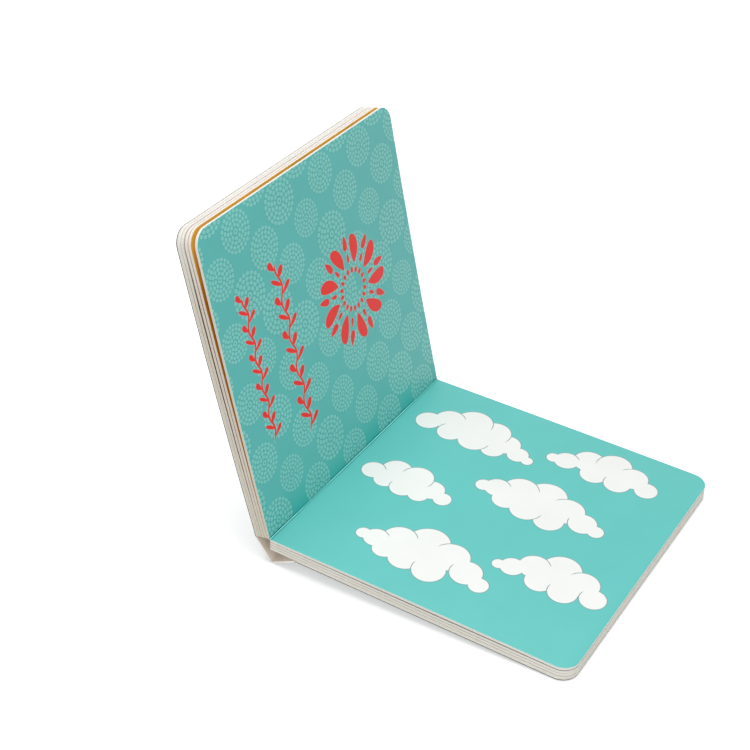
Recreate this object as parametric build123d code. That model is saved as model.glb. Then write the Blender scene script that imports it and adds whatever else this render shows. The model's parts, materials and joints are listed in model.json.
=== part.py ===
"""Square board book, standing open in an L: one half lies down, the other leans back.

The sections are drawn for the closed book: X runs from the gutter fold to the fore
edges, the front half lies above z = 0 and the back half below it. Each section is
extruded along Y, its fore-edge corners are rounded, and the pieces are then turned
about their folds to the opening of the finished model.
"""
from build123d import *
import math
import os

# Driving dimensions, in millimetres and degrees
page_width = 165.0           # gutter fold to fore edge
page_height = 165.0          # along the gutter
corner_radius = 8.5          # fore-edge corners of the leaves and covers
leaf_thickness = 1.65        # one leaf: two printed boards glued back to back
cover_thickness = 0.9        # the folded cover card
trim_margin = 2.0            # what is cut off all round the leaves after they are bound
hinge_strip_width = 15.5     # strip of the back cover that isn't glued down
opening_angle = 103.2        # between the two open pages

# The leaves from the open page outwards: how far each one's fore edge has spread from
# the one before it, and its mid-page hollow, below zero where it swells
glue_margin = 4.0            # leaves are joined this far in from the spine edge
parting = 0.05               # width of each gap where it starts
front_leaves = [(0.0, 0.6), (2.4, 0.6), (0.3, 0.75), (0.7, 1.0), (0.15, 1.0)]
back_leaves = [(0.0, -0.3), (0.25, 0.0), (0.1, 0.0), (0.1, 0.0)]

# Folds and clearances
ridge_radius = 0.3           # folded edge of the printed spread along the gutter
ridge_relief = 0.6           # bevel of the front half beside that ridge
spine_setback = 0.2          # gutter fold to the spine edges of the leaves
spine_room = 0.45            # gutter fold to the inside of the closed spine panel
fold_clearance = 0.45        # free edge of the spine panel to the front cover
crease_clearance = 0.1       # hinge strip to back cover
nose_angle = 70.0            # rounded outside of the fold between spine and strip


def fan(leaves):
    """How far the fore edge of the last of these leaves has moved out."""
    return sum(gap for gap, sag in leaves)


def curve(start, end, sag):
    """A line in the section, or an arc that stands off its chord by sag in Z."""
    a = Vector(start[0], 0, start[1])
    b = Vector(end[0], 0, end[1])
    if sag == 0:
        return Line(a, b)
    return ThreePointArc(a, (a + b) / 2 + Vector(0, 0, sag), b)


def slab(edges, spare=0.0):
    """Solid of a closed section, over the height of the page and spare beyond each end."""
    solid = extrude(Face(Wire(edges)), amount=page_height + 2 * spare, dir=(0, 1, 0))
    return Pos(0, -spare, 0) * solid


def trimmed(edges):
    """Solid of a section that runs past the fore edge, cut to the outline of a page."""
    tall = 4 * (front_block + back_block)
    blank = Box(2 * page_width, page_height, tall)
    fore_edges = blank.edges().filter_by(Axis.Z).group_by(Axis.X)[-1]
    outline = fillet(fore_edges, corner_radius)
    return slab(edges, trim_margin) & (Pos(0, page_height / 2, 0) * outline)


def leaf_block(leaves, side, gutter_bevel):
    """The leaves of one half, joined along their spine edges; side is 1 or -1."""
    spine_edge = (spine_setback, side * len(leaves) * leaf_thickness)
    start = (spine_setback + gutter_bevel, 0)
    edges = [curve(start, (glue_margin, 0), 0)]
    for index, (gap, hollow) in enumerate(leaves):
        near = side * index * leaf_thickness
        outer = near + side * leaf_thickness
        far = outer if index == len(leaves) - 1 else outer - side * parting
        drop = side * fan(leaves[:index + 1])
        sag = side * hollow
        edges.append(curve((glue_margin, near), (sheet_edge, near + drop), sag))
        edges.append(curve((sheet_edge, near + drop), (sheet_edge, far + drop), 0))
        edges.append(curve((sheet_edge, far + drop), (glue_margin, far), sag))
        if far != outer:
            edges.append(curve((glue_margin, far), (glue_margin, outer), 0))
    edges.append(curve((glue_margin, far), spine_edge, 0))
    edges.append(curve(spine_edge, (spine_setback, side * gutter_bevel), 0))
    if gutter_bevel > 0:
        edges.append(curve((spine_setback, side * gutter_bevel), start, 0))
    return trimmed(edges)


def cover_panel(first, block, drop, sag, side):
    """A cover from x = first to the fore edge, glued to the outermost leaf."""
    card = side * cover_thickness
    inner = side * block
    fore = inner + side * drop
    if first < glue_margin:
        bend = (glue_margin, inner)
        inside = [curve((first, inner), bend, 0), curve(bend, (sheet_edge, fore), side * sag)]
        outer_bend = (glue_margin, inner + card)
        outside = [
            curve((sheet_edge, fore + card), outer_bend, side * sag),
            curve(outer_bend, (first, inner + card), 0),
        ]
        start = inner
    else:
        start = inner + side * drop * (first - glue_margin) / (sheet_edge - glue_margin)
        inside = [curve((first, start), (sheet_edge, fore), 0)]
        outside = [curve((sheet_edge, fore + card), (first, start + card), 0)]
    ends = [
        curve((sheet_edge, fore), (sheet_edge, fore + card), 0),
        curve((first, start + card), (first, start), 0),
    ]
    return trimmed([*inside, ends[0], *outside, ends[1]])


# Sizes that follow from the leaves
front_block = len(front_leaves) * leaf_thickness
back_block = len(back_leaves) * leaf_thickness
front_drop = fan(front_leaves)
back_drop = fan(back_leaves)
sheet_edge = page_width + trim_margin
back_slope = back_drop / (sheet_edge - glue_margin)
crease_z = -back_block - back_slope * (hinge_strip_width - glue_margin) - cover_thickness

# Fold lines of the closed book, as (x, z)
gutter = (0.0, 0.0)
strip_crease = (hinge_strip_width, crease_z)
spine_fold = (-spine_room, -back_block)


def turned(point, centre, angle):
    """A section point turned about a centre, from +X towards +Z."""
    a = math.radians(angle)
    x = point[0] - centre[0]
    z = point[1] - centre[1]
    return (
        centre[0] + x * math.cos(a) - z * math.sin(a),
        centre[1] + x * math.sin(a) + z * math.cos(a),
    )


def bearing(start, end):
    """Direction from one section point to another, in degrees from +X towards +Z."""
    return math.degrees(math.atan2(end[1] - start[1], end[0] - start[0]))


# The loop of gutter, front fold, spine panel and hinge strip, closed at this opening
front_fold = turned((-spine_room, front_block), gutter, opening_angle)
spine_length = front_block + back_block
strip_length = math.dist(strip_crease, spine_fold)
reach = math.dist(strip_crease, front_fold)
cosine = (reach ** 2 + strip_length ** 2 - spine_length ** 2) / (2 * reach * strip_length)
strip_bearing = bearing(strip_crease, front_fold) + math.degrees(math.acos(cosine))
strip_lift = strip_bearing - bearing(strip_crease, spine_fold)
open_fold = turned(spine_fold, strip_crease, strip_lift)
spine_turn = bearing(open_fold, front_fold) - 90.0


def front_pages():
    """The leaves that lean back, fanned out towards their fore edge."""
    return leaf_block(front_leaves, 1, ridge_relief)


def front_cover():
    """The cover glued to the last of the leaves that lean back."""
    hollow = front_leaves[-1][1]
    return cover_panel(spine_setback, front_block, front_drop, hollow, 1)


def back_cover():
    """The cover under the leaves that lie down, as far as the hinge strip."""
    hollow = back_leaves[-1][1]
    return cover_panel(hinge_strip_width, back_block, back_drop, hollow, -1)


def back_pages():
    """The leaves that lie down, with the folded ridge of the open spread."""
    block = leaf_block(back_leaves, -1, 0)
    rod = Cylinder(ridge_radius, page_height, rotation=(90, 0, 0))
    lip = Box(glue_margin, page_height, ridge_radius, align=(Align.MIN, Align.CENTER, Align.MAX))
    return block + Pos(0, page_height / 2, 0) * (rod + lip)


def hinge_strip():
    """The part of the back cover that lifts off the block beside the spine."""
    end = hinge_strip_width - crease_clearance
    top = spine_fold[1]
    bottom = strip_crease[1]
    start = spine_fold[0]
    corners = [
        (start, top),
        (end, bottom + cover_thickness),
        (end, bottom),
        (start, top - cover_thickness),
    ]
    return slab([curve(a, b, 0) for a, b in zip(corners, corners[1:] + corners[:1])])


def spine_panel():
    """The spine of the cover, with the rounded outside of its fold to the strip."""
    free_edge = front_block - fold_clearance
    inside = spine_fold[0]
    outside = inside - cover_thickness
    foot = (outside, spine_fold[1])
    middle = turned(foot, spine_fold, nose_angle / 2)
    last = turned(foot, spine_fold, nose_angle)
    nose = ThreePointArc(*[Vector(p[0], 0, p[1]) for p in (foot, middle, last)])
    return slab([
        curve(spine_fold, (inside, free_edge), 0),
        curve((inside, free_edge), (outside, free_edge), 0),
        curve((outside, free_edge), foot, 0),
        nose,
        curve(last, spine_fold, 0),
    ])


def opened(solid, fold, angle):
    """A piece turned about a fold line, the way the book opens."""
    line = Axis((fold[0], 0, fold[1]), (0, -1, 0))
    return solid.rotate(line, angle)


# Every piece at the finished opening, with the back half still level
pieces = {
    "left_pages": opened(front_pages(), gutter, opening_angle),
    "right_pages": back_pages(),
    "front_cover": opened(front_cover(), gutter, opening_angle),
    "back_cover": back_cover(),
    "back_hinge_strip": opened(hinge_strip(), strip_crease, strip_lift),
    "spine_panel": opened(
        opened(spine_panel(), spine_fold, spine_turn - strip_lift), strip_crease, strip_lift
    ),
}

# The book rests on the rounded spine fold and on the back cover's fore edge
fore_foot = (page_width, crease_z - back_slope * (page_width - hinge_strip_width))
rest_span = math.dist(open_fold, fore_foot)
rest_tilt = bearing(open_fold, fore_foot) + math.degrees(math.asin(cover_thickness / rest_span))

level = {name: solid.rotate(Axis.Y, rest_tilt) for name, solid in pieces.items()}
size = Compound(list(level.values())).bounding_box()
ground = Pos(-size.center().X, -size.center().Y, -size.min.Z)
parts = {name: ground * solid for name, solid in level.items()}

os.makedirs("parts", exist_ok=True)
for name, solid in parts.items():
    export_step(solid, f"parts/{name}.step")


def placed(point):
    """A section point of the open book, at mid height, in the finished model."""
    x, z = turned(point, gutter, -rest_tilt)
    spot = ground * Pos(x, page_height / 2, z)
    return tuple(round(value, 4) for value in spot.position)


print("gutter", placed(gutter))
print("strip crease", placed(strip_crease))
print("spine fold", placed(open_fold))
print("front fold", placed(front_fold))
print("tilt", round(rest_tilt, 4), "strip lift", round(strip_lift, 3), "spine turn", round(spine_turn, 3))
print("size", size.size)
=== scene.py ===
"""The looks of a square board book that stands open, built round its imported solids."""
import json
import math

import bmesh
import bpy
from mathutils import Matrix, Vector


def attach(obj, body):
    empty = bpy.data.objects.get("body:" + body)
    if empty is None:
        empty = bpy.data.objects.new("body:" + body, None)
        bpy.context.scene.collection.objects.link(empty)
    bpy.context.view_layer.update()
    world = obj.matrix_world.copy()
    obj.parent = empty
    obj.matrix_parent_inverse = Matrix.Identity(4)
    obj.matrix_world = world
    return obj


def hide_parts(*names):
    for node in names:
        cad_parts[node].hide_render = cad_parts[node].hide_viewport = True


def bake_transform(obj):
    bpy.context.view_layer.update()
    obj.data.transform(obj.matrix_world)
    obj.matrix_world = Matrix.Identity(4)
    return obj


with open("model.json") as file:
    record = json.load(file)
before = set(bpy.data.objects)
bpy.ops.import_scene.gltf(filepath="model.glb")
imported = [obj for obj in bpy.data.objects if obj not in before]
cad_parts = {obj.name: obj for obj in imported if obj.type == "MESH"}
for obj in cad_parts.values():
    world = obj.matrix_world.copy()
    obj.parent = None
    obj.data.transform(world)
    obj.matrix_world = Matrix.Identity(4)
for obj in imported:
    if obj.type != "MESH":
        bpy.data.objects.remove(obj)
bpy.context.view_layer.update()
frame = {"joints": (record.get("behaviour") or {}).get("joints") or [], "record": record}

MM = 0.001

# Sizes of the solids, in millimetres, as the part's source has them
PAGE = 165.0             # gutter fold to fore edge, and along the gutter
CORNER = 8.5             # radius of the fore-edge corners
LEAF = 1.65              # thickness of a leaf
CARD = 0.9               # thickness of the cover card
GLUE = 4.0               # the leaves are joined this far in from the gutter
SHEET_EDGE = 167.0       # end of a leaf's arc, before the leaf is trimmed
PARTING = 0.05           # width of each gap where it starts
SETBACK = 0.2            # gutter fold to the spine edges of the leaves
STRIP = 15.5             # width of the hinge strip
CREASE_CLEARANCE = 0.1   # hinge strip to back cover
SPINE_ROOM = 0.45        # gutter fold to the inside of the closed spine panel
FOLD_CLEARANCE = 0.45    # free edge of the spine panel to the front cover
RIDGE = 0.3              # radius of the folded ridge along the gutter
RIDGE_RELIEF = 0.6       # bevel of the front half beside that ridge

# The leaves from the open page outwards: how far each one's fore edge has spread from the
# one before it, and its mid-page hollow, below zero where it swells
FRONT_LEAVES = [(0.0, 0.6), (2.4, 0.6), (0.3, 0.75), (0.7, 1.0), (0.15, 1.0)]
BACK_LEAVES = [(0.0, -0.3), (0.25, 0.0), (0.1, 0.0), (0.1, 0.0)]
FRONT_BLOCK = len(FRONT_LEAVES) * LEAF
BACK_BLOCK = len(BACK_LEAVES) * LEAF

joints = {joint["name"]: joint for joint in frame["joints"]}
gutter = Vector(joints["gutter_hinge"]["pos_m"])
crease = Vector(joints["strip_fold"]["pos_m"])
spine_fold = Vector(joints["spine_fold"]["pos_m"])
opening = 180.0 - joints["gutter_hinge"]["range_deg"][1]

# The first mount is the back cover's outer face. It slopes by the rest tilt of the lying half,
# here in degrees, and by the angle at which its leaves fan out, in radians.
cover_axis = frame["record"]["mounts"][0]["axis"]
back_angle = math.atan(sum(gap for gap, hollow in BACK_LEAVES) / (SHEET_EDGE - GLUE))
tilt = math.degrees(math.atan2(-cover_axis[0], -cover_axis[2]) - back_angle)


def section(angle):
    """Row frame from a half's section: X off the gutter, Y from the near end, Z off the page."""
    turn = Matrix.Rotation(-math.radians(angle), 4, "Y")
    return Matrix.Translation(gutter) @ turn @ Matrix.Translation((0, -PAGE / 2 * MM, 0))


LEFT = section(opening - tilt)
RIGHT = section(-tilt)


def bearing(start, end):
    """Direction from one section point to another, in radians from +X towards +Z."""
    return math.atan2(end[1] - start[1], end[0] - start[0])


def in_section(point):
    """A row-frame point in the lying half's section, as (x, z) in millimetres."""
    local = RIGHT.inverted() @ point
    return (local.x / MM, local.z / MM)


def shifted(point, angle, distance):
    """A section point moved in a direction."""
    return (point[0] + distance * math.cos(angle), point[1] + distance * math.sin(angle))


crease_point = in_section(crease)
fold_point = in_section(spine_fold)
front_fold = in_section(LEFT @ Vector((-SPINE_ROOM * MM, 0, FRONT_BLOCK * MM)))
closed_fold = (-SPINE_ROOM, -BACK_BLOCK)
strip_lift = bearing(crease_point, fold_point) - bearing(crease_point, closed_fold)
spine_bearing = bearing(fold_point, front_fold)

# The camera, at the photograph's angle: degrees, metres, and millimetres of lens and sensor
CAMERA_AZIMUTH = 32.4965
CAMERA_ELEVATION = 33.7063
CAMERA_ROLL = -1.0124
CAMERA_PLACE = (0.300827, -0.551068, 0.504764)
CAMERA_LENS = 74.17
CAMERA_SENSOR = 36.0


def make_camera():
    azimuth = math.radians(CAMERA_AZIMUTH)
    elevation = math.radians(CAMERA_ELEVATION)
    back = Vector((
        math.sin(azimuth) * math.cos(elevation),
        -math.cos(azimuth) * math.cos(elevation),
        math.sin(elevation),
    ))
    right = (-back).cross(Vector((0, 0, 1))).normalized()
    up = back.cross(right)
    turn = Matrix((right, up, back)).transposed()
    roll = Matrix.Rotation(math.radians(CAMERA_ROLL), 3, "Z")
    data = bpy.data.cameras.new("camera")
    data.lens = CAMERA_LENS
    data.sensor_width = CAMERA_SENSOR
    camera = bpy.data.objects.new("camera", data)
    camera.matrix_world = Matrix.Translation(CAMERA_PLACE) @ (turn @ roll).to_4x4()
    bpy.context.scene.collection.objects.link(camera)
    bpy.context.scene.camera = camera


make_camera()


def rgb(red, green, blue):
    """Linear colour of an 8-bit sRGB one."""
    def linear(value):
        value /= 255.0
        return value / 12.92 if value <= 0.04045 else ((value + 0.055) / 1.055) ** 2.4
    return (linear(red), linear(green), linear(blue), 1.0)


def darker(colour, share):
    """A linear colour at a share of its strength."""
    return tuple(share * value for value in colour[:3]) + (1.0,)


class Paint:
    """A material whose nodes are added one call at a time."""

    def __init__(self, name, specular, roughness=0.5):
        self.material = bpy.data.materials.new(name)
        self.material.use_nodes = True
        self.nodes = self.material.node_tree.nodes
        self.links = self.material.node_tree.links
        self.shader = self.nodes["Principled BSDF"]
        self.shader.inputs["Roughness"].default_value = roughness
        self.shader.inputs["Specular IOR Level"].default_value = specular

    def node(self, kind, inputs=(), output=0, **settings):
        """Adds a node. Its inputs are sockets or values, in order or by key."""
        made = self.nodes.new("ShaderNode" + kind)
        for key, value in settings.items():
            setattr(made, key, value)
        pairs = inputs.items() if isinstance(inputs, dict) else enumerate(inputs)
        for key, value in pairs:
            if isinstance(value, bpy.types.NodeSocket):
                self.links.new(value, made.inputs[key])
            else:
                made.inputs[key].default_value = value
        return made.outputs[output]

    def math(self, operation, *inputs):
        return self.node("Math", inputs, operation=operation)

    def vector(self, operation, *inputs):
        output = 1 if operation in ("DISTANCE", "LENGTH", "DOT_PRODUCT") else 0
        return self.node("VectorMath", inputs, output, operation=operation)

    def merge(self, operation, values):
        """Several values made one by an operation that takes two."""
        total = values[0]
        for value in values[1:]:
            total = self.math(operation, total, value)
        return total

    def step(self, value, start, end, smooth=False):
        """0 at start and 1 at end, and level beyond them."""
        kind = "SMOOTHSTEP" if smooth else "LINEAR"
        return self.node("MapRange", (value, start, end, 0.0, 1.0), interpolation_type=kind)

    def fade(self, value, start, end, share):
        """0 at start and a share at end, and level beyond them."""
        return self.math("MULTIPLY", self.step(value, start, end), share)

    def span(self, value, low, high):
        """A 0 to 1 value spread over low to high."""
        return self.node("MapRange", (value, 0.0, 1.0, low, high))

    def mix(self, share, first, second, blend="MIX"):
        return self.node(
            "Mix", {0: share, 6: first, 7: second}, 2, data_type="RGBA", blend_type=blend
        )

    def noise(self, place, scale, detail, rough=0.5):
        return self.node("TexNoise", {
            "Vector": place, "Scale": scale, "Detail": detail, "Roughness": rough,
        })

    def grain(self, place, stretch, scale, detail, rough=0.5):
        """A noise with a scale of its own along each axis."""
        return self.noise(self.vector("MULTIPLY", place, stretch), scale, detail, rough)

    def place(self):
        """The point at rest, in metres."""
        return self.node("TexCoord", (), "Object")

    def page(self):
        """The point on the page, in millimetres from the gutter and from the near end."""
        return self.vector("MULTIPLY", self.node("UVMap", (), uv_map="page"), (PAGE, PAGE, 0.0))

    def edge(self):
        """The point on a cut edge, in millimetres along it and down from the near face."""
        uv = self.node("UVMap", (), uv_map="edge")
        return self.vector("MULTIPLY", uv, (1 / MM, 1 / MM, 0.0))

    def split(self, vector):
        """The first two parts of a vector."""
        made = self.nodes.new("ShaderNodeSeparateXYZ")
        self.links.new(vector, made.inputs[0])
        return made.outputs[0], made.outputs[1]

    def finish(self, colour, bumps, roughness=None):
        """Links the shader. bumps are (height, distance in metres, strength)."""
        self.links.new(colour, self.shader.inputs["Base Color"])
        if roughness is not None:
            self.links.new(roughness, self.shader.inputs["Roughness"])
        normal = None
        for height, distance, strength in bumps:
            inputs = {"Strength": strength, "Distance": distance, "Height": height}
            if normal is not None:
                inputs["Normal"] = normal
            normal = self.node("Bump", inputs)
        self.links.new(normal, self.shader.inputs["Normal"])
        return self.material


TURQUOISE = rgb(99, 195, 190)
SKY = rgb(105, 203, 197)
ROSETTE = rgb(138, 215, 207)
ROSETTE_GROUND = rgb(79, 177, 172)
RED = rgb(252, 48, 42)
CLOUD = rgb(250, 250, 247)
CLOUD_LINE = rgb(118, 146, 148)
# the next colour is painted shade, in the crease beside the gutter
FOLD_SHADE = rgb(14, 122, 120)
PAPER = rgb(244, 243, 238)
CREAM = rgb(248, 247, 240)
BOARD = rgb(238, 236, 226)
INK_BLOTCH = (0.02, 0.05, 0.05, 1.0)
# the next tone is painted shade on the head and tail edges
END_SHADE_TONE = (0.82, 0.765, 0.68, 1.0)
# the next tone is painted shade towards the standing page's gutter
GUTTER_SHADE_TONE = (0.35, 0.94, 0.9, 1.0)

# Lengths on the page and on cut edges are in millimetres. A fade is given by three values:
# where a tone starts to show, where it shows most, and its share there.
SOFT_EDGE = 0.07                # half of the blur along a printed outline
PRINT_SPECULAR = 0.25
COVER_SPECULAR = 0.35

# The fold of the spread lies flat on a stretch near the front and at the far end
FLAT_MIDDLE = 39.0
FLAT_REACH = (17.0, 8.0)        # off that middle: where it's bent, and where it's quite flat
FLAT_END = (128.0, 145.0)
# the next two set the painted shade line beside the gutter
LINE_REACH = (0.6, 0.3)         # off the fold's foot: end of the dark line, and of its full tone
LINE_SHARE = (0.95, 0.4)        # its strength where the fold is bent, and where it's flat


def fold_flat(paint, along):
    """1 where the fold of the spread lies flat."""
    off = paint.math("ABSOLUTE", paint.math("SUBTRACT", along, FLAT_MIDDLE))
    return paint.math("MAXIMUM", paint.step(off, *FLAT_REACH), paint.step(along, *FLAT_END))


def fold_shade_line(paint, page, colour, foot):
    """Painted shade: the dark line of the folded spread beside the gutter, fainter where the fold
    is flat.
    """
    across, along = paint.split(page)
    line = paint.step(across, foot + LINE_REACH[0], foot + LINE_REACH[1])
    share = paint.span(fold_flat(paint, along), *LINE_SHARE)
    return paint.mix(paint.math("MULTIPLY", line, share), colour, FOLD_SHADE)


def film(paint, colour, shine=(0.36, 0.5)):
    """Ends a printed face: faint unevenness of the ink, the film's shine and the board's tooth."""
    place = paint.place()
    blotch = paint.noise(place, scale=38.0, detail=3.0)
    tone = paint.mix(paint.span(blotch, 0.0, 0.1), colour, INK_BLOTCH)
    tooth = paint.noise(place, scale=1500.0, detail=2.0)
    wave = paint.noise(place, scale=26.0, detail=1.0)
    rough = paint.span(paint.noise(place, scale=210.0, detail=3.0), *shine)
    return paint.finish(tone, [(wave, 0.0004, 0.3), (tooth, 0.00002, 0.35)], rough)


# the painted shade below the fore edge starts and is full at these places
FORE_BAND = (163.0, 130.0)      # off the gutter: where the fore edge's tone ends, and is gone


def painted_end_shade(paint, tone, share):
    """Painted shade: head and tail edges are darker than the fore edge."""
    across = paint.fade(paint.split(paint.page())[0], *FORE_BAND, share)
    return paint.mix(across, tone, END_SHADE_TONE, "MULTIPLY")


PAST_GUTTER = 60.0              # the outline that wears runs on this far, to spare the gutter
RUBBED = (0.1, -0.4)            # off the outline: start of the lightest wear, and the heaviest
WEAR = (0.0, 0.12, 0.6)


def rim_wear(paint, page, colour):
    """Ink rubbed off to the paper along the cut edges of a page."""
    centred = paint.vector("SUBTRACT", page, ((PAGE - PAST_GUTTER) / 2, PAGE / 2, 0.0))
    folded = paint.vector("ABSOLUTE", centred)
    core = ((PAGE + PAST_GUTTER) / 2 - CORNER, PAGE / 2 - CORNER, 0.0)
    beyond = paint.vector("SUBTRACT", folded, core)
    outside = paint.vector("MAXIMUM", beyond, (0.0, 0.0, 0.0))
    reach = paint.vector("LENGTH", outside)
    rub = paint.noise(page, scale=0.5, detail=4.0, rough=0.7)
    limit = paint.span(rub, CORNER + RUBBED[0], CORNER + RUBBED[1])
    return paint.mix(paint.fade(paint.math("SUBTRACT", reach, limit), *WEAR), colour, PAPER)


# Clouds: place on the page, (x, y, radius) of the puffs, and the pairs of puffs where the
# first one's outline runs on inside the second
CLOUDS = [
    ((43.0, 133.0), [
        (-21.0, -3.5, 5.6), (-13.5, 1.5, 6.6), (-4.0, 5.0, 8.2), (6.5, 3.6, 7.2),
        (14.5, -0.5, 6.0), (21.5, -4.0, 4.6), (-9.5, -5.5, 5.6), (1.5, -5.0, 6.8),
        (11.0, -6.0, 5.2), (26.5, -5.6, 2.6),
    ], [(1, 2), (2, 3), (3, 4), (7, 8), (6, 1)]),
    ((117.0, 141.0), [
        (-17.0, -2.5, 5.2), (-9.0, 2.0, 6.6), (1.0, 4.6, 7.4), (10.5, 1.5, 6.4),
        (18.0, -2.5, 4.8), (-4.0, -4.2, 5.8), (6.5, -4.6, 5.6), (-22.5, -3.6, 2.9),
    ], [(0, 1), (2, 1), (3, 2), (6, 5)]),
    ((99.0, 97.0), [
        (-24.0, -1.0, 3.4), (-18.5, 0.5, 5.4), (-10.0, 4.0, 7.4), (0.5, 6.0, 8.4),
        (11.0, 2.4, 7.4), (19.5, -1.0, 5.8), (-12.5, -4.0, 5.6), (-3.0, -5.0, 6.6),
        (7.5, -6.2, 6.2), (25.8, -2.6, 3.4), (3.0, -2.0, 3.0),
    ], [(2, 3), (4, 3), (7, 8), (1, 2), (5, 4)]),
    ((33.0, 77.0), [
        (-15.0, -1.5, 5.0), (-7.0, 3.2, 6.4), (2.5, 3.6, 6.8), (11.0, 0.0, 5.6),
        (17.5, -2.6, 3.8), (-8.0, -4.0, 4.8), (0.5, -4.6, 5.4), (8.0, -5.0, 4.4),
    ], [(0, 1), (2, 3), (6, 5), (2, 1)]),
    ((131.0, 52.0), [
        (-16.5, -3.0, 4.8), (-9.5, 1.5, 6.2), (0.0, 5.2, 7.8), (10.0, 2.4, 6.6),
        (16.5, -2.6, 5.2), (-4.5, -4.6, 5.6), (5.5, -5.2, 5.8), (-21.6, -4.4, 2.6),
    ], [(1, 2), (3, 2), (4, 3), (6, 5)]),
    ((69.0, 32.0), [
        (-25.5, -1.8, 3.0), (-20.0, -1.5, 5.0), (-12.0, 2.6, 7.0), (-1.5, 6.4, 8.6),
        (9.5, 4.2, 7.6), (18.5, -0.2, 6.4), (-14.0, -5.0, 5.0), (-5.0, -5.2, 6.6),
        (6.0, -6.4, 6.6), (25.6, -3.6, 4.0), (1.0, -2.0, 3.0),
    ], [(2, 3), (4, 3), (5, 4), (8, 7), (1, 2)]),
]
CLOUD_SIZE = 1.3
OUTLINE = 0.3                   # half the width of the line round a cloud
OUTLINE_FADE = (0.0, 2 * SOFT_EDGE, 0.75)
INWARD = math.radians(15)       # from the notch of two puffs to the middle of the mark there
MARK_FACING = (0.86, 1.0)       # cosine off that middle, at the mark's end and at the middle
MARK_HALF = (-0.1, 0.24)        # half the mark's width at both


def notch(puffs, first, second):
    """Direction, seen from the first puff, in which its outline dips into the second."""
    ax, ay, ar = puffs[first]
    bx, by, br = puffs[second]
    apart = math.hypot(bx - ax, by - ay)
    towards = math.atan2(by - ay, bx - ax)
    spread = math.acos((ar ** 2 + apart ** 2 - br ** 2) / (2 * ar * apart))
    others = [puff for index, puff in enumerate(puffs) if index not in (first, second)]
    for side in (1, -1):
        angle = towards + side * spread
        x, y = ax + ar * math.cos(angle), ay + ar * math.sin(angle)
        if all(math.hypot(x - ox, y - oy) > radius for ox, oy, radius in others):
            return angle - side * INWARD
    raise ValueError(f"puffs {first} and {second} don't meet on the outline")


def cloud_page():
    """The lying page: plain sky and six white clouds with thin grey outlines."""
    paint = Paint("cloud_page", PRINT_SPECULAR)
    page = paint.page()
    shapes = []
    lines = []
    for (u, v), drawn, marks in CLOUDS:
        puffs = [tuple(CLOUD_SIZE * value for value in puff) for puff in drawn]
        edges = []
        for x, y, radius in puffs:
            away = paint.vector("DISTANCE", page, (u + x, v + y, 0.0))
            edges.append(paint.math("SUBTRACT", away, radius))
        shapes.append(paint.merge("MINIMUM", edges))
        for index, other in marks:
            x, y, radius = puffs[index]
            turn = notch(puffs, index, other)
            towards = (math.cos(turn) / radius, math.sin(turn) / radius, 0.0)
            offset = paint.vector("SUBTRACT", page, (u + x, v + y, 0.0))
            facing = paint.vector("DOT_PRODUCT", offset, towards)
            half = paint.node("MapRange", (facing, *MARK_FACING, *MARK_HALF))
            inked = paint.math("SUBTRACT", half, paint.math("ABSOLUTE", edges[index]))
            lines.append(paint.step(inked, -SOFT_EDGE, SOFT_EDGE))
    edge = paint.merge("MINIMUM", shapes)
    white = paint.step(edge, SOFT_EDGE, -SOFT_EDGE)
    ring = paint.math("SUBTRACT", OUTLINE, paint.math("ABSOLUTE", edge))
    inner = paint.math("MULTIPLY", paint.merge("MAXIMUM", lines), white)
    drawing = paint.math("MAXIMUM", paint.fade(ring, *OUTLINE_FADE), inner)
    colour = paint.mix(drawing, paint.mix(white, SKY, CLOUD), CLOUD_LINE)
    # painted shade beside the gutter
    colour = fold_shade_line(paint, page, colour, RIDGE)
    return film(paint, rim_wear(paint, page, colour))


# Rosettes: the lattice's cells and its start in shares of a cell, the range of the radii, and
# the noise at which a rosette is smallest and largest
ROSETTE_CELL = (33.0, 35.0)
LATTICE_START = (0.83, 0.72)
ROSETTE_RADIUS = (9.9, 12.3)
RADIUS_NOISE = (0.36, 0.64)

# Their dots: the rings, the dots a ring would have at the middle and how many more each ring
# has, and the turn that grows with the square of the ring. The sizes of a dot are in shares of
# its place along and across its ring, those of the hub in rings.
RINGS = 5.0
FIRST_DOTS, MORE_DOTS = 3.0, 5.0
RING_TURN = 0.37
DOT_HALF = (0.4, 0.42)
DOT_POWER = 2.4                 # 2 draws ellipses, and more draws them squarer
DOT_EDGE = (1.35, 0.85)         # where a dot's blur ends and starts, 1 being its outline
HUB_RIM = (0.8, 0.66)
HUB_HOLE = (0.2, 0.34)


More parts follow.
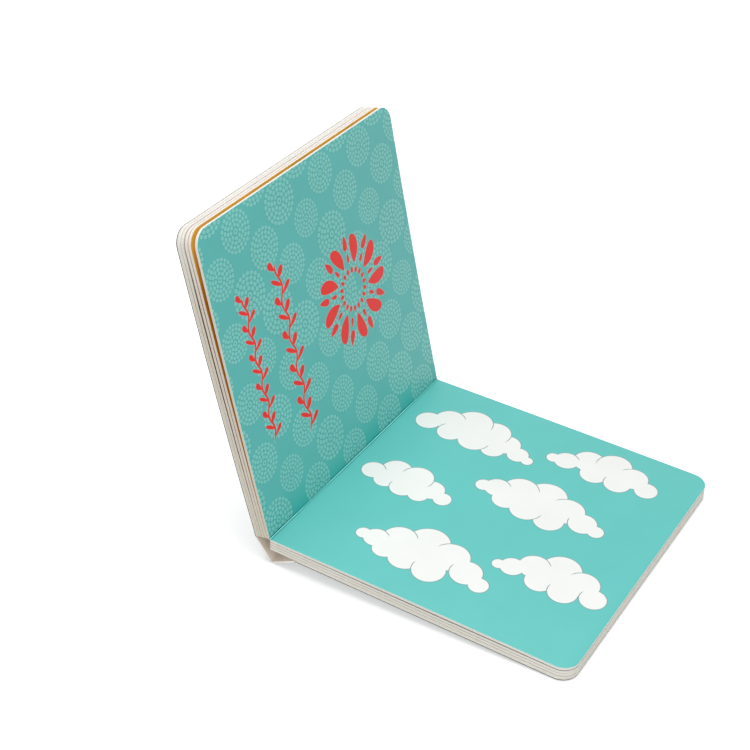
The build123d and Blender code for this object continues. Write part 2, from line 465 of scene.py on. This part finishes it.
def rosettes(paint, page):
    """Rings of small dots, in a lattice whose every other row is set half a step on."""
    wide, tall = ROSETTE_CELL
    middle = (wide / 2, tall / 2, 0.5)
    cell = (wide, tall, 1.0)
    start = (wide * LATTICE_START[0], tall * LATTICE_START[1], 0.5)
    near = paint.vector("ADD", page, start)
    first = paint.vector("SUBTRACT", paint.vector("MODULO", near, cell), middle)
    half_on = paint.vector("ADD", near, (wide / 2, tall / 2, 0.0))
    second = paint.vector("SUBTRACT", paint.vector("MODULO", half_on, cell), middle)
    nearer = paint.math(
        "LESS_THAN", paint.vector("LENGTH", second), paint.vector("LENGTH", first)
    )
    offset = paint.node("Mix", {0: nearer, 4: first, 5: second}, 1, data_type="VECTOR")
    centre = paint.vector("SUBTRACT", page, offset)
    chance = paint.step(paint.noise(centre, scale=0.11, detail=0.0), *RADIUS_NOISE)
    radius = paint.span(chance, *ROSETTE_RADIUS)
    share = paint.math("DIVIDE", paint.vector("LENGTH", offset), radius)
    rings = paint.math("MULTIPLY", share, RINGS)
    ring = paint.math("FLOOR", rings)
    radial = paint.math("SUBTRACT", paint.math("FRACT", rings), 0.5)
    x, y = paint.split(offset)
    turn = paint.math("DIVIDE", paint.math("ARCTAN2", y, x), 2 * math.pi)
    count = paint.math("MULTIPLY_ADD", ring, MORE_DOTS, FIRST_DOTS)
    begin = paint.math("MULTIPLY", paint.math("MULTIPLY", ring, ring), RING_TURN)
    angle = paint.math("MULTIPLY_ADD", turn, count, begin)
    across = paint.math("SUBTRACT", paint.math("FRACT", angle), 0.5)
    off_dot = [
        paint.math("POWER", paint.math("ABSOLUTE", paint.math("DIVIDE", value, half)), DOT_POWER)
        for value, half in zip((across, radial), DOT_HALF)
    ]
    dots = paint.step(paint.merge("ADD", off_dot), *DOT_EDGE)
    hub = paint.math("MULTIPLY", paint.step(rings, *HUB_RIM), paint.step(rings, *HUB_HOLE))
    ringed = paint.math("MULTIPLY", dots, paint.math("GREATER_THAN", rings, 1.0))
    inside = paint.math("LESS_THAN", rings, RINGS)
    return paint.math("MULTIPLY", paint.math("MAXIMUM", hub, ringed), inside), inside


# Half a drop's width is the half width given, times its fullness, times the share of the
# length that is passed, to the first power, times the share that is left, to the second. The
# fullness makes the widest place as wide as is given.
DROP_POWERS = (0.85, 0.45)
DROP_FULLNESS = 2.3


def drop(paint, along, across, length, half_width):
    """A teardrop, pointed at along = 0 and round at along = length: how far inside it."""
    share = paint.math("DIVIDE", along, length)
    passed = paint.math("MINIMUM", paint.math("MAXIMUM", share, 0.0), 1.0)
    rise = paint.math("POWER", passed, DROP_POWERS[0])
    fall = paint.math("POWER", paint.math("SUBTRACT", 1.0, passed), DROP_POWERS[1])
    half = paint.math("MULTIPLY", paint.math("MULTIPLY", rise, fall), DROP_FULLNESS * half_width)
    off_middle = paint.math("ABSOLUTE", paint.math("SUBTRACT", along, length / 2))
    beyond = paint.math("MAXIMUM", paint.math("SUBTRACT", off_middle, length / 2), 0.0)
    outside = paint.math("ADD", paint.math("ABSOLUTE", across), beyond)
    return paint.math("SUBTRACT", half, outside)


# The wreath's rings of drops: radius of their points, length, below zero where the round ends
# are nearer to the middle, half width, number, start in shares of a drop's place, and curl
WREATH = (86.0, 106.0)
WREATH_RINGS = [
    (13.5, 15.5, 3.7, 9, 0.0, 0.0006),
    (30.0, -8.5, 2.0, 9, 0.5, 0.0004),
    (20.2, -5.4, 1.2, 9, 0.47, 0.0),
    (12.4, -3.6, 1.2, 18, 0.0, 0.0),
]


def wreath(paint, page):
    """A ring of slanted drops with smaller rings between and inside."""
    offset = paint.vector("SUBTRACT", page, (*WREATH, 0.0))
    radius = paint.vector("LENGTH", offset)
    x, y = paint.split(offset)
    turn = paint.math("DIVIDE", paint.math("ARCTAN2", y, x), 2 * math.pi)
    masks = []
    for points_at, length, half_width, count, start, curl in WREATH_RINGS:
        along = paint.math("SUBTRACT", radius, points_at)
        if length < 0:
            along = paint.math("MULTIPLY", along, -1.0)
        bend = paint.math("MULTIPLY", paint.math("MULTIPLY", along, along), curl)
        angle = paint.math("MULTIPLY_ADD", turn, float(count), start)
        cell = paint.math("SUBTRACT", paint.math("FRACT", paint.math("ADD", angle, bend)), 0.5)
        across = paint.math("MULTIPLY", cell, paint.math("MULTIPLY", radius, 2 * math.pi / count))
        masks.append(drop(paint, along, across, abs(length), half_width))
    return masks


# Garlands: first step and how many, height on the page, length of a step, sway of the stem
GARLANDS = [(4, 10, 50.0, 9.2, 1.5), (6, 10, 22.0, 7.8, 1.2)]
STEM_BEFORE, STEM_SHORT = 0.4, 0.1  # in steps: how early it starts, and how early it ends
STEM_HALF = 0.7
STEM_TAPER = 0.2
LEAF_ANGLE = math.radians(48)   # off the stem
LEAF_ROWS = ((1.0, 0.2), (-1.0, 0.7))  # side of the stem, and start in steps
LEAF_START, LEAF_LENGTH, LEAF_HALF = 0.16, 0.86, 0.17  # in steps
FAR_OUT = 10.0                  # where a leaf that isn't drawn is put, outside its place


def garland(paint, page, first, count, height, step, sway):
    """A wavy stem with leaves at both sides: how far inside them."""
    x, y = paint.split(page)
    inside = paint.math(
        "MINIMUM", paint.math("SUBTRACT", x, (first - STEM_BEFORE) * step),
        paint.math("SUBTRACT", (first + count - STEM_SHORT) * step, x),
    )
    wave = paint.math("SINE", paint.math("MULTIPLY", x, math.pi / step))
    above = paint.math("SUBTRACT", y, paint.math("MULTIPLY_ADD", wave, sway, height))
    stem = paint.math("MINIMUM", STEM_HALF, paint.math("MULTIPLY", inside, STEM_TAPER))
    shapes = [paint.math("SUBTRACT", stem, paint.math("ABSOLUTE", above))]
    cosine, sine = math.cos(LEAF_ANGLE), math.sin(LEAF_ANGLE)
    for side, phase in LEAF_ROWS:
        spot = paint.math("MULTIPLY_ADD", x, 1.0 / step, phase)
        start = first if side > 0 else first + 1
        kept = paint.math(
            "MULTIPLY", paint.math("GREATER_THAN", spot, float(start)),
            paint.math("LESS_THAN", spot, float(start + count)),
        )
        along = paint.math("MULTIPLY_ADD", paint.math("FRACT", spot), step, -step * LEAF_START)
        up = paint.math("MULTIPLY", above, side)
        run = paint.math("MULTIPLY_ADD", along, cosine, paint.math("MULTIPLY", up, sine))
        off = paint.math("MULTIPLY_ADD", along, -sine, paint.math("MULTIPLY", up, cosine))
        leaf = drop(paint, run, off, step * LEAF_LENGTH, step * LEAF_HALF)
        limit = paint.math("MULTIPLY_ADD", kept, 2 * FAR_OUT, -FAR_OUT)
        shapes.append(paint.math("MINIMUM", leaf, limit))
    return paint.merge("MAXIMUM", shapes)


# painted shade towards the gutter: where it starts, where it is full, and its share
GUTTER_SHADE = (17.0, 1.0, 0.75)        # the deeper tone towards the gutter
GROUND_SHARE = 0.6              # of the tone between a rosette's dots
DOT_SHARE = 0.95
HALO = (-0.5, -0.36, 0.55)      # the pale line round the red shapes


def rosette_page():
    """The standing page: turquoise with pale rosettes and red ornaments."""
    paint = Paint("rosette_page", PRINT_SPECULAR)
    page = paint.page()
    dots, discs = rosettes(paint, page)
    # painted shade, deeper towards the gutter
    foot = paint.fade(paint.split(page)[0], *GUTTER_SHADE)
    colour = paint.mix(foot, TURQUOISE, GUTTER_SHADE_TONE, "MULTIPLY")
    colour = paint.mix(paint.math("MULTIPLY", discs, GROUND_SHARE), colour, ROSETTE_GROUND)
    colour = paint.mix(paint.math("MULTIPLY", dots, DOT_SHARE), colour, ROSETTE)
    red = wreath(paint, page) + [garland(paint, page, *row) for row in GARLANDS]
    inside = paint.merge("MAXIMUM", red)
    colour = paint.mix(paint.fade(inside, *HALO), colour, ROSETTE)
    colour = paint.mix(paint.step(inside, 0.0, 2 * SOFT_EDGE), colour, RED)
    # painted shade beside the gutter
    colour = fold_shade_line(paint, page, colour, RIDGE_RELIEF)
    return film(paint, rim_wear(paint, page, colour))


INK_PATCH = (0.35, 0.7)
PATCH_STRENGTH = 0.85


def plain_page(name, colour, deep):
    """A printed face of which only the edge is seen, with painted shade that deepens below its
    fore edge.
    """
    paint = Paint(name, PRINT_SPECULAR)
    page = paint.page()
    patch = paint.step(paint.noise(page, scale=0.03, detail=2.0), *INK_PATCH)
    tone = paint.mix(patch, colour, darker(colour, PATCH_STRENGTH))
    # painted shade below the fore edge
    tone = paint.mix(paint.step(paint.split(page)[0], *FORE_BAND), tone, deep)
    return film(paint, rim_wear(paint, page, tone))


BOARD_LAYERS = (0.38, 0.64)
BOARD_FIBRES = (0.0, 0.22)
BOARD_BLOTCH = (0.4, 0.75, 0.35)
BOARD_DEEP = 0.6                # strength of the deepest tone, against the dark one
# painted shade on the edge, darker towards both faces
FACE_SHADE = 0.4                   # how dark the edge is at both faces
FACE_SHADE_FROM = 0.2              # where that starts, off the middle, in shares of the thickness


def board_edge(name, thickness, pale, dark, shade=0.0):
    """The cut edge of board, made by pressing: thin layers and fibres, with painted shade towards
    both faces.
    """
    paint = Paint(name, specular=0.25, roughness=0.85)
    edge = paint.edge()
    layers = paint.grain(edge, (0.02, 3.2, 1.0), scale=1.0, detail=2.0)
    fibres = paint.grain(edge, (1.2, 9.0, 1.0), scale=1.0, detail=3.0, rough=0.65)
    blotch = paint.grain(edge, (0.05, 0.3, 1.0), scale=1.0, detail=2.0)
    deep = darker(dark, BOARD_DEEP)
    tone = paint.mix(paint.step(layers, *BOARD_LAYERS), pale, dark)
    tone = paint.mix(paint.span(fibres, *BOARD_FIBRES), tone, deep)
    tone = paint.mix(paint.fade(blotch, *BOARD_BLOTCH), tone, dark)
    depth = paint.split(edge)[1]
    off_middle = paint.math("ABSOLUTE", paint.math("SUBTRACT", depth, thickness / 2))
    # painted shade towards both faces
    face_shade = paint.step(off_middle, thickness * FACE_SHADE_FROM, thickness / 2, smooth=True)
    tone = paint.mix(paint.math("MULTIPLY", face_shade, FACE_SHADE), tone, deep)
    # painted shade on the head and tail edges
    if shade:
        tone = painted_end_shade(paint, tone, shade)
    return paint.finish(tone, [(paint.math("ADD", layers, fibres), 0.00012, 0.6)])


CARD_FIBRES = (0.0, 0.3)
CARD_CLOUDS = (0.4, 0.75, 0.3)
CARD_FLECKS = (0.7, 0.78, 0.5)
FLECK_STRENGTH = 0.4


def bare_card(name, colour, second, shade=0.0):
    """Unprinted card: fine fibres and soft clouds in a second tone, and a few dark flecks."""
    paint = Paint(name, specular=0.3, roughness=0.8)
    place = paint.place()
    fibres = paint.grain(place, (1.0, 0.35, 1.0), scale=900.0, detail=4.0, rough=0.6)
    cloudy = paint.fade(paint.noise(place, scale=60.0, detail=3.0), *CARD_CLOUDS)
    fleck = paint.fade(paint.noise(place, scale=700.0, detail=2.0), *CARD_FLECKS)
    tone = paint.mix(paint.span(fibres, *CARD_FIBRES), colour, second)
    tone = paint.mix(cloudy, tone, second)
    tone = paint.mix(fleck, tone, darker(second, FLECK_STRENGTH))
    # painted shade on the head and tail edges
    if shade:
        tone = painted_end_shade(paint, tone, shade)
    return paint.finish(tone, [(fibres, 0.00004, 0.5)])


def highlighted_ridge(name, bent, flat):
    """The folded ridge of the spread: its print, with a painted highlight where it's bent most."""
    paint = Paint(name, COVER_SPECULAR)
    along = paint.split(paint.page())[1]
    return film(paint, paint.mix(fold_flat(paint, along), bent, flat))


def printed_edge(name, colour):
    """The print that wraps the outer rim of the cover."""
    return film(Paint(name, COVER_SPECULAR), colour, shine=(0.34, 0.46))


SCUFFS = (0.66, 0.8, 0.1)
FOLD_REACH = (1.3, 0.95)        # off the line about which the spine fold is rounded
FOLD_RUB = (0.45, 0.62, 0.2)


def printed_card(name, colour):
    """The outside of the cover: printed and filmed, rubbed along its edges and folds."""
    paint = Paint(name, COVER_SPECULAR)
    rub = paint.noise(paint.place(), scale=420.0, detail=5.0, rough=0.7)
    tone = paint.mix(paint.fade(rub, *SCUFFS), colour, PAPER)
    tone = rim_wear(paint, paint.page(), tone)
    off_fold = paint.vector("DISTANCE", paint.edge(), (*fold_point, 0.0))
    bent = paint.step(off_fold, *FOLD_REACH)
    tone = paint.mix(paint.math("MULTIPLY", bent, paint.fade(rub, *FOLD_RUB)), tone, PAPER)
    return film(paint, tone, shine=(0.3, 0.42))


kinds = {
    "clouds": cloud_page(),
    "rosettes": rosette_page(),
    # the second colour of each plain page is the painted shade it takes below its fore edge
    "orange": plain_page("orange_page", rgb(255, 206, 90), rgb(206, 136, 42)),
    "pink": plain_page("pink_page", rgb(255, 230, 228), rgb(178, 148, 136)),
    "plum": plain_page("plum_page", rgb(255, 240, 236), rgb(146, 118, 100)),
    "sage": plain_page("sage_page", rgb(240, 241, 230), rgb(172, 172, 154)),
    "mauve": plain_page("mauve_page", rgb(190, 182, 176), rgb(164, 150, 146)),
    "ochre": plain_page("ochre_page", rgb(214, 208, 186), rgb(196, 186, 158)),
    # the last number of the next four is the strength of the painted shade on head and tail edges;
    # the front half's boards are otherwise the back's, with stronger painted shade
    "front_paper": bare_card("front_paper_edge", rgb(242, 240, 233), rgb(222, 216, 205), 0.5),
    "front_board": board_edge("front_board_edge", LEAF, CREAM, BOARD, 0.95),
    "back_paper": bare_card("back_paper_edge", rgb(242, 241, 235), rgb(222, 218, 208), 0.15),
    "back_board": board_edge("back_board_edge", LEAF, CREAM, BOARD, 0.3),
    # the ridge's first colour is a painted highlight where the fold is bent, its second the print
    # where it lies flat
    "ridge": highlighted_ridge("ridge_print_and_highlight", rgb(150, 255, 253), rgb(104, 214, 208)),
    "inside": bare_card("card_inside", rgb(252, 240, 227), rgb(232, 216, 199)),
    "card_end": bare_card("card_end", rgb(252, 250, 244), rgb(238, 232, 222)),
    "outside": printed_card("card_outside", rgb(58, 88, 84)),
    "rim": printed_edge("card_rim", rgb(34, 52, 40)),
    "card": board_edge("card_edge", CARD, rgb(252, 250, 244), rgb(236, 230, 218)),
}


SHARP = math.radians(20)        # least angle between two faces that is drawn as an edge


def settle(mesh, name, body, matrix):
    """Puts a section's mesh in place, makes its faces point out and rides it on its body."""
    mesh.transform(matrix)
    shape = bmesh.new()
    shape.from_mesh(mesh)
    bmesh.ops.recalc_face_normals(shape, faces=shape.faces)
    shape.to_mesh(mesh)
    shape.free()
    mesh.polygons.foreach_set("use_smooth", [True] * len(mesh.polygons))
    mesh.set_sharp_from_angle(angle=SHARP)
    piece = bpy.data.objects.new(name, mesh)
    bpy.context.scene.collection.objects.link(piece)
    if body:
        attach(piece, body)
    return piece


def section_piece(name, body, matrix, points, polygons, faced, cuts):
    """A piece drawn in a half's section, in millimetres.

    faced are the kinds of the polygons, and cuts the places of their corners on a cut edge.
    """
    mesh = bpy.data.meshes.new(name)
    mesh.from_pydata([tuple(MM * value for value in point) for point in points], [], polygons)
    slots = sorted(set(faced))
    for kind in slots:
        mesh.materials.append(kinds[kind])
    mesh.polygons.foreach_set("material_index", [slots.index(kind) for kind in faced])
    page = mesh.uv_layers.new(name="page")
    edge = mesh.uv_layers.new(name="edge")
    for polygon, places in zip(mesh.polygons, cuts):
        for corner, (run, depth) in zip(polygon.loop_indices, places):
            x, y, z = points[mesh.loops[corner].vertex_index]
            page.data[corner].uv = (x / PAGE, y / PAGE)
            edge.data[corner].uv = (run * MM, depth * MM)
    return settle(mesh, name, body, matrix)


STRAIGHT_STATIONS = 26
CORNER_STATIONS = 12


def outline(first):
    """Low side of a page's outline from x = first: (x, y, outward x, outward y)."""
    rows = [(first, 0.0, -1.0, -1.0)]
    start = PAGE - CORNER
    for step in range(1, STRAIGHT_STATIONS + 1):
        x = first + (start - first) * step / STRAIGHT_STATIONS
        rows.append((x, 0.0, 0.0, -1.0))
    for step in range(1, CORNER_STATIONS + 1):
        turn = math.pi / 2 * step / CORNER_STATIONS
        x, y = start + CORNER * math.sin(turn), CORNER * (1 - math.cos(turn))
        rows.append((x, y, math.sin(turn), -math.cos(turn)))
    return rows


def board(name, body, matrix, first, near, far, bands, faces):
    """A page-shaped board between two curved faces.

    near and far give z over x. bands are (inset, depth, kind of the band below it), from
    the near face to the far one, with depths below zero counted from the far face. faces
    are the kinds of the two faces.
    """
    low = outline(first)
    loop = low + [(x, PAGE - y, nx, -ny) for x, y, nx, ny in reversed(low)]
    count = len(loop)
    lengths = [0.0]
    for a, b in zip(loop, loop[1:]):
        lengths.append(lengths[-1] + math.hypot(b[0] - a[0], b[1] - a[1]))
    points, polygons, faced, cuts = [], [], [], []
    for inset, depth, _ in bands:
        for x, y, nx, ny in loop:
            thick = abs(far(x) - near(x))
            share = (depth if depth >= 0 else thick + depth) / thick
            points.append((x - nx * inset, y - ny * inset, near(x) + (far(x) - near(x)) * share))
    for row, (_, _, kind) in enumerate(bands[:-1]):
        # The edge layer takes every board to be as thick as a leaf
        top, bottom = (
            depth if depth >= 0 else LEAF + depth for _, depth, _ in bands[row:row + 2]
        )
        for index in range(count):
            after = (index + 1) % count
            a, b = row * count + index, row * count + after
            polygons.append((a, b, b + count, a + count))
            faced.append(kind)
            start = lengths[index]
            end = lengths[after] if after else start + PAGE
            cuts.append([(start, top), (end, top), (end, bottom), (start, bottom)])
    for base, kind in zip((0, (len(bands) - 1) * count), faces):
        for index in range(len(low) - 1):
            a, b = base + index, base + index + 1
            c, d = base + count - 2 - index, base + count - 1 - index
            polygons.append((a, b, c, d) if base else (d, c, b, a))
            faced.append(kind)
            cuts.append([(0.0, 0.0)] * 4)
    return section_piece(name, body, matrix, points, polygons, faced, cuts)


def face(base, drop, hollow):
    """z over x of a leaf's face: straight as far as the glue, then drawn out in a shallow arc."""
    def height(x):
        share = max(0.0, (x - GLUE) / (SHEET_EDGE - GLUE))
        return base + drop * share + 4 * hollow * share * (1 - share)
    return height


LEAF_BEVEL = 0.25
PAPER_BAND = 0.36               # the paper on both faces of a leaf shows this deep on its edge
COVER_BEVEL = 0.2
INSIDE_BEVEL = 0.06
RIM_BAND = 0.55                 # the print wraps the card's edge this far from the outside
BEVEL_TURNS = (0, 30, 60)       # degrees
FAR_FACE = -1e-9                # stands for a depth of zero that is counted from the far face


def bevel(size, turn):
    """Inset and depth of a row on a rounded edge, at a turn in degrees from the face."""
    a = math.radians(turn)
    return size * (1 - math.sin(a)), size * (1 - math.cos(a))


def far_bevel(size, kind):
    """Rows of the rounded edge at the far face."""
    rows = [bevel(size, turn) for turn in reversed(BEVEL_TURNS)]
    return [(inset, -depth or FAR_FACE, kind) for inset, depth in rows]


def leaf_bands(near_kind, far_kind, paper, middle):
    """Rows of a leaf's edge, from its near face over two small bevels to its far face."""
    return [
        *((*bevel(LEAF_BEVEL, turn), near_kind) for turn in BEVEL_TURNS[:-1]),
        (*bevel(LEAF_BEVEL, BEVEL_TURNS[-1]), paper),
        (0.0, LEAF_BEVEL, paper),
        (0.0, PAPER_BAND, middle),
        (0.0, -PAPER_BAND, paper),
        (0.0, -LEAF_BEVEL, paper),
        *far_bevel(LEAF_BEVEL, far_kind),
    ]


def leaves(side, rows, body, matrix, prints, stock, name):
    """The leaves of one half; prints are the kinds of the faces from the open page outwards."""
    made = []
    for index, ((_, hollow), faces) in enumerate(zip(rows, prints)):
        drop = side * sum(gap for gap, _ in rows[:index + 1])
        parting = 0 if index == len(rows) - 1 else side * PARTING
        near = face(side * index * LEAF, drop, side * hollow)
        far = face(side * (index + 1) * LEAF - parting, drop, side * hollow)
        bands = leaf_bands(*faces, *stock)
        made.append(board(
            f"{name}_{index + 1}", body, matrix, SETBACK, near, far, bands, faces
        ))
    return made


LEFT_PRINTS = [
    ("rosettes", "orange"), ("orange", "pink"), ("pink", "plum"), ("plum", "sage"),
    ("sage", "front_paper"),
]
RIGHT_PRINTS = [("clouds", "mauve"), ("mauve", "sage"), ("sage", "ochre"), ("ochre", "back_paper")]
FRONT_STOCK = ("front_paper", "front_board")
BACK_STOCK = ("back_paper", "back_board")

left_leaves = leaves(1, FRONT_LEAVES, "left_half", LEFT, LEFT_PRINTS, FRONT_STOCK, "left_leaf")
right_leaves = leaves(-1, BACK_LEAVES, "right_half", RIGHT, RIGHT_PRINTS, BACK_STOCK, "right_leaf")
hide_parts("left_pages")
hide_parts("right_pages")

COVER_BANDS = [
    (INSIDE_BEVEL, 0.0, "inside"), (0.0, INSIDE_BEVEL, "card"),
    (0.0, -RIM_BAND, "rim"), (0.0, -COVER_BEVEL, "rim"), *far_bevel(COVER_BEVEL, "rim"),
]


def cover(name, body, matrix, first, side, block, rows):
    """A card on the outermost leaf, from x = first: bare inside, and printed outside."""
    hollow = side * rows[-1][1]
    drop = side * sum(gap for gap, _ in rows)
    inner = face(side * block, drop, hollow)
    outer = face(side * (block + CARD), drop, hollow)
    piece = board(name, body, matrix, first, inner, outer, COVER_BANDS, ("inside", "outside"))
    return piece


front_cover = cover("front_cover_card", "left_half", LEFT, 0.0, 1, FRONT_BLOCK, FRONT_LEAVES)
back_cover = cover("back_cover_card", "right_half", RIGHT, STRIP, -1, BACK_BLOCK, BACK_LEAVES)
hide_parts("front_cover")
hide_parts("back_cover")

END_BAND = 0.05                 # from each end to the row of points beside it


def extrusion(name, body, loop, side_kinds, end_kind):
    """A closed section of the lying half, drawn along the whole height of the page."""
    count = len(loop)
    heights = (0.0, END_BAND, PAGE - END_BAND, PAGE)
    last = (len(heights) - 1) * count
    points = [(x, y, z) for y in heights for x, z in loop]
    polygons, faced = [], []
    for base in range(0, last, count):
        for index, kind in enumerate(side_kinds):
            a, b = base + index, base + (index + 1) % count
            polygons.append((a, b, b + count, a + count))
            faced.append(kind)
    polygons += [tuple(range(count)), tuple(range(last + count - 1, last - 1, -1))]
    faced += [end_kind] * 2
    cuts = [[(points[corner][0], points[corner][2]) for corner in polygon] for polygon in polygons]
    return section_piece(name, body, RIGHT, points, polygons, faced, cuts)


SPINE_PANEL = FRONT_BLOCK + BACK_BLOCK - FOLD_CLEARANCE
NOSE_STEPS = 10
BEND = 1.0                      # the card bends this far on both sides of the spine fold
STATIONS = (0.33, 0.66, 1.0)    # beyond the bend, in shares of the length from the fold
# The outer skin runs on past the free edge, towards the front cover: (beyond, off the inside)
SPINE_TONGUE = [(0.0, 0.4), (0.3, 0.52), (0.7, 0.62), (0.75, 0.76), (0.55, CARD)]

top_of_end = shifted(crease_point, math.pi / 2 + strip_lift, CARD)
strip_end = shifted(top_of_end, math.pi + strip_lift, CREASE_CLEARANCE)
strip_bearing = bearing(fold_point, strip_end)
strip_length = math.dist(fold_point, strip_end)


def from_fold(angle, lengths, outward=0.0, off=0.0):
    """Points at lengths from the spine fold, and off that line in the direction outward."""
    return [shifted(shifted(fold_point, angle, run), outward, off) for run in lengths]


def spine_loop():
    """The strip, the rounded fold and the spine as one folded card."""
    strip = [BEND / 2, BEND, *(strip_length * share for share in STATIONS)]
    spine = [BEND / 2, BEND, *(SPINE_PANEL * share for share in STATIONS)]
    out_spine = spine_bearing + math.pi / 2
    out_strip = strip_bearing - math.pi / 2
    sweep = (out_strip - out_spine) % (2 * math.pi)
    inner = [
        *from_fold(strip_bearing, reversed(strip)),
        fold_point,
        *from_fold(spine_bearing, spine),
    ]
    outer = []
    for beyond, off in SPINE_TONGUE:
        outer += from_fold(spine_bearing, [SPINE_PANEL + beyond], out_spine, off)
    outer += from_fold(spine_bearing, reversed(spine[:-1]), out_spine, CARD)
    for step in range(NOSE_STEPS + 1):
        outer.append(shifted(fold_point, out_spine + sweep * step / NOSE_STEPS, CARD))
    outer += from_fold(strip_bearing, strip, out_strip, CARD)
    sides = ["inside"] * (len(inner) - 1) + ["card_end"] * 3
    sides += ["outside"] * (len(inner) + len(outer) - 1 - len(sides)) + ["card_end"]
    return inner + outer, sides


loop, sides = spine_loop()
spine_card = extrusion("spine_card", None, loop, sides, "card_end")
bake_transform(spine_card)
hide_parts("back_hinge_strip", "spine_panel")

WEDGE_STEPS = 4
WEDGE_CLEARANCE = 0.02          # inside the outer faces of strip and cover


def crease_loop():
    """The wedge of card that opens between the strip and the back cover."""
    start = math.pi / 2 - back_angle
    sweep = strip_lift + back_angle
    turns = [start + sweep * step / WEDGE_STEPS for step in range(WEDGE_STEPS + 1)]
    return [crease_point] + [shifted(crease_point, turn, CARD - WEDGE_CLEARANCE) for turn in turns]


wedge = crease_loop()
crease_card = extrusion("crease_card", None, wedge, ["card_end"] * len(wedge), "card_end")
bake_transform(crease_card)

RIDGE_SIDE = 20                 # degrees
ridge_loop = [
    shifted((0.0, 0.0), math.radians(turn), RIDGE) for turn in range(0, 360, RIDGE_SIDE)
]
ridge_kinds = ["ridge"] * len(ridge_loop)
ridge = extrusion("gutter_ridge", "right_half", ridge_loop, ridge_kinds, "back_paper")

WHITE = (1.0, 1.0, 1.0, 1.0)


def sees_backdrop(nodes, links):
    """1 for the rays that show the backdrop itself: seen, mirrored or through glass."""
    path = nodes.new("ShaderNodeLightPath")
    total = path.outputs["Is Camera Ray"]
    for kind in ("Is Glossy Ray", "Is Transmission Ray"):
        either = nodes.new("ShaderNodeMath")
        either.operation = "MAXIMUM"
        links.new(total, either.inputs[0])
        links.new(path.outputs[kind], either.inputs[1])
        total = either.outputs[0]
    return total


FLOOR_REACH = 4.0               # metres
FLOOR_COLOUR = (0.8, 0.8, 0.8, 1.0)
FLOOR_GLOW = (0.4, 1.6, 0.45, 0.78)  # metres from the middle, twice, and the glow's strength there


def make_floor():
    """A white floor that glows for the rays that show it, less so round the book."""
    corners = [(-1, -1), (1, -1), (1, 1), (-1, 1)]
    mesh = bpy.data.meshes.new("floor")
    mesh.from_pydata(
        [(x * FLOOR_REACH, y * FLOOR_REACH, 0) for x, y in corners], [], [(0, 1, 2, 3)]
    )
    floor = bpy.data.objects.new("floor", mesh)
    bpy.context.scene.collection.objects.link(floor)
    material = bpy.data.materials.new("floor")
    material.use_nodes = True
    nodes, links = material.node_tree.nodes, material.node_tree.links
    nodes.clear()
    out = nodes.new("ShaderNodeOutputMaterial")
    matte = nodes.new("ShaderNodeBsdfDiffuse")
    matte.inputs["Color"].default_value = FLOOR_COLOUR
    glow = nodes.new("ShaderNodeEmission")
    glow.inputs["Color"].default_value = WHITE
    both = nodes.new("ShaderNodeAddShader")
    shown = nodes.new("ShaderNodeMath")
    shown.operation = "MULTIPLY"
    spot = nodes.new("ShaderNodeTexCoord")
    away = nodes.new("ShaderNodeVectorMath")
    away.operation = "LENGTH"
    strength = nodes.new("ShaderNodeMapRange")
    for index, value in enumerate(FLOOR_GLOW, start=1):
        strength.inputs[index].default_value = value
    links.new(spot.outputs["Object"], away.inputs[0])
    links.new(away.outputs["Value"], strength.inputs[0])
    links.new(sees_backdrop(nodes, links), shown.inputs[0])
    links.new(strength.outputs[0], shown.inputs[1])
    links.new(shown.outputs[0], glow.inputs["Strength"])
    links.new(matte.outputs[0], both.inputs[0])
    links.new(glow.outputs[0], both.inputs[1])
    links.new(both.outputs[0], out.inputs["Surface"])
    mesh.materials.append(material)


LIGHTS_AIM = (0.0, 0.0, 0.08)
WORLD_LIGHT = 0.4


def area_light(name, place, size, power):
    """A round light that faces the book; size in metres, power in watts."""
    data = bpy.data.lights.new(name, "AREA")
    data.shape = "DISK"
    data.size = size
    data.energy = power
    light = bpy.data.objects.new(name, data)
    direction = Vector(LIGHTS_AIM) - Vector(place)
    light.rotation_mode = "QUATERNION"
    light.rotation_quaternion = direction.to_track_quat("-Z", "Y")
    light.location = place
    bpy.context.scene.collection.objects.link(light)


def make_world():
    """A world that is white to look at, and lights the book more weakly."""
    world = bpy.data.worlds.new("studio")
    world.use_nodes = True
    nodes, links = world.node_tree.nodes, world.node_tree.links
    sky = nodes["Background"]
    sky.inputs["Color"].default_value = WHITE
    strength = nodes.new("ShaderNodeMapRange")
    strength.inputs["To Min"].default_value = WORLD_LIGHT
    strength.inputs["To Max"].default_value = 1.0
    links.new(sees_backdrop(nodes, links), strength.inputs["Value"])
    links.new(strength.outputs[0], sky.inputs["Strength"])
    bpy.context.scene.world = world


make_floor()
make_world()
area_light("overhead", (-0.15, 0.1, 1.4), 1.0, 10.9)
area_light("side", (1.3, -0.5, 0.55), 0.8, 2.6)
area_light("front", (0.1, -1.4, 0.8), 0.8, 5.4)
bpy.context.scene.view_settings.view_transform = "Standard"
